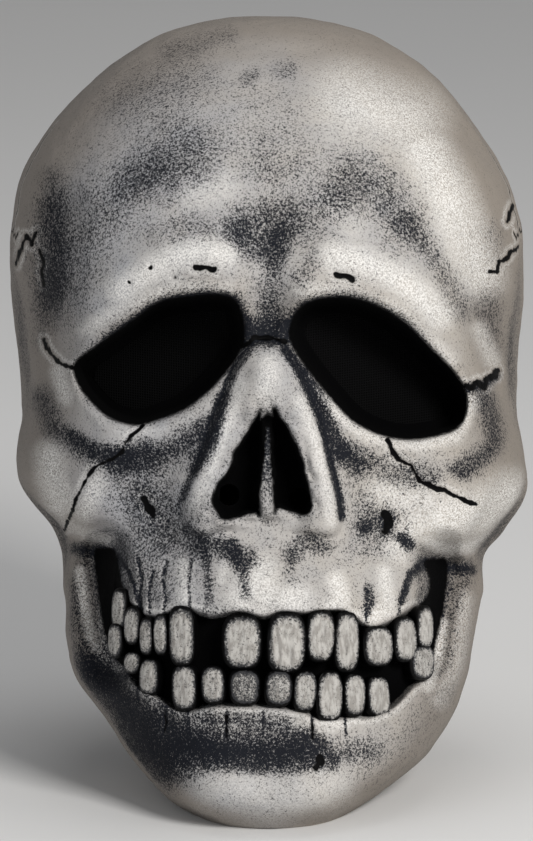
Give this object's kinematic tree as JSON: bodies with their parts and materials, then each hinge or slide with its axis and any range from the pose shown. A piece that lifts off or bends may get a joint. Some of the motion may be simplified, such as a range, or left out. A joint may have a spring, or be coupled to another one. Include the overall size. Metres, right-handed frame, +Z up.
{
  "type": "skull mask",
  "caption": "Full-head skull mask of painted latex with moulded teeth, gauze behind the eye sockets and an open neck rim to stand on.",
  "frame": {"origin": "centre of the bounding box's base, on the plane that the neck rim stands on", "axes": "+Z up, -Y the way the face looks, +X towards the viewer's right. The face leans back 12 degrees from upright"},
  "size_m": [0.1958, 0.2618, 0.2805],
  "materials": {
    "painted_latex": "matt bone grey paint with a dark speckled wash and black in the openings",
    "black_gauze": "matt black open weave"
  },
  "bodies": {
    "root": {"mask_shell": "painted_latex", "eye_gauze_left": "black_gauze", "eye_gauze_right": "black_gauze"}
  },
  "joints": []
}
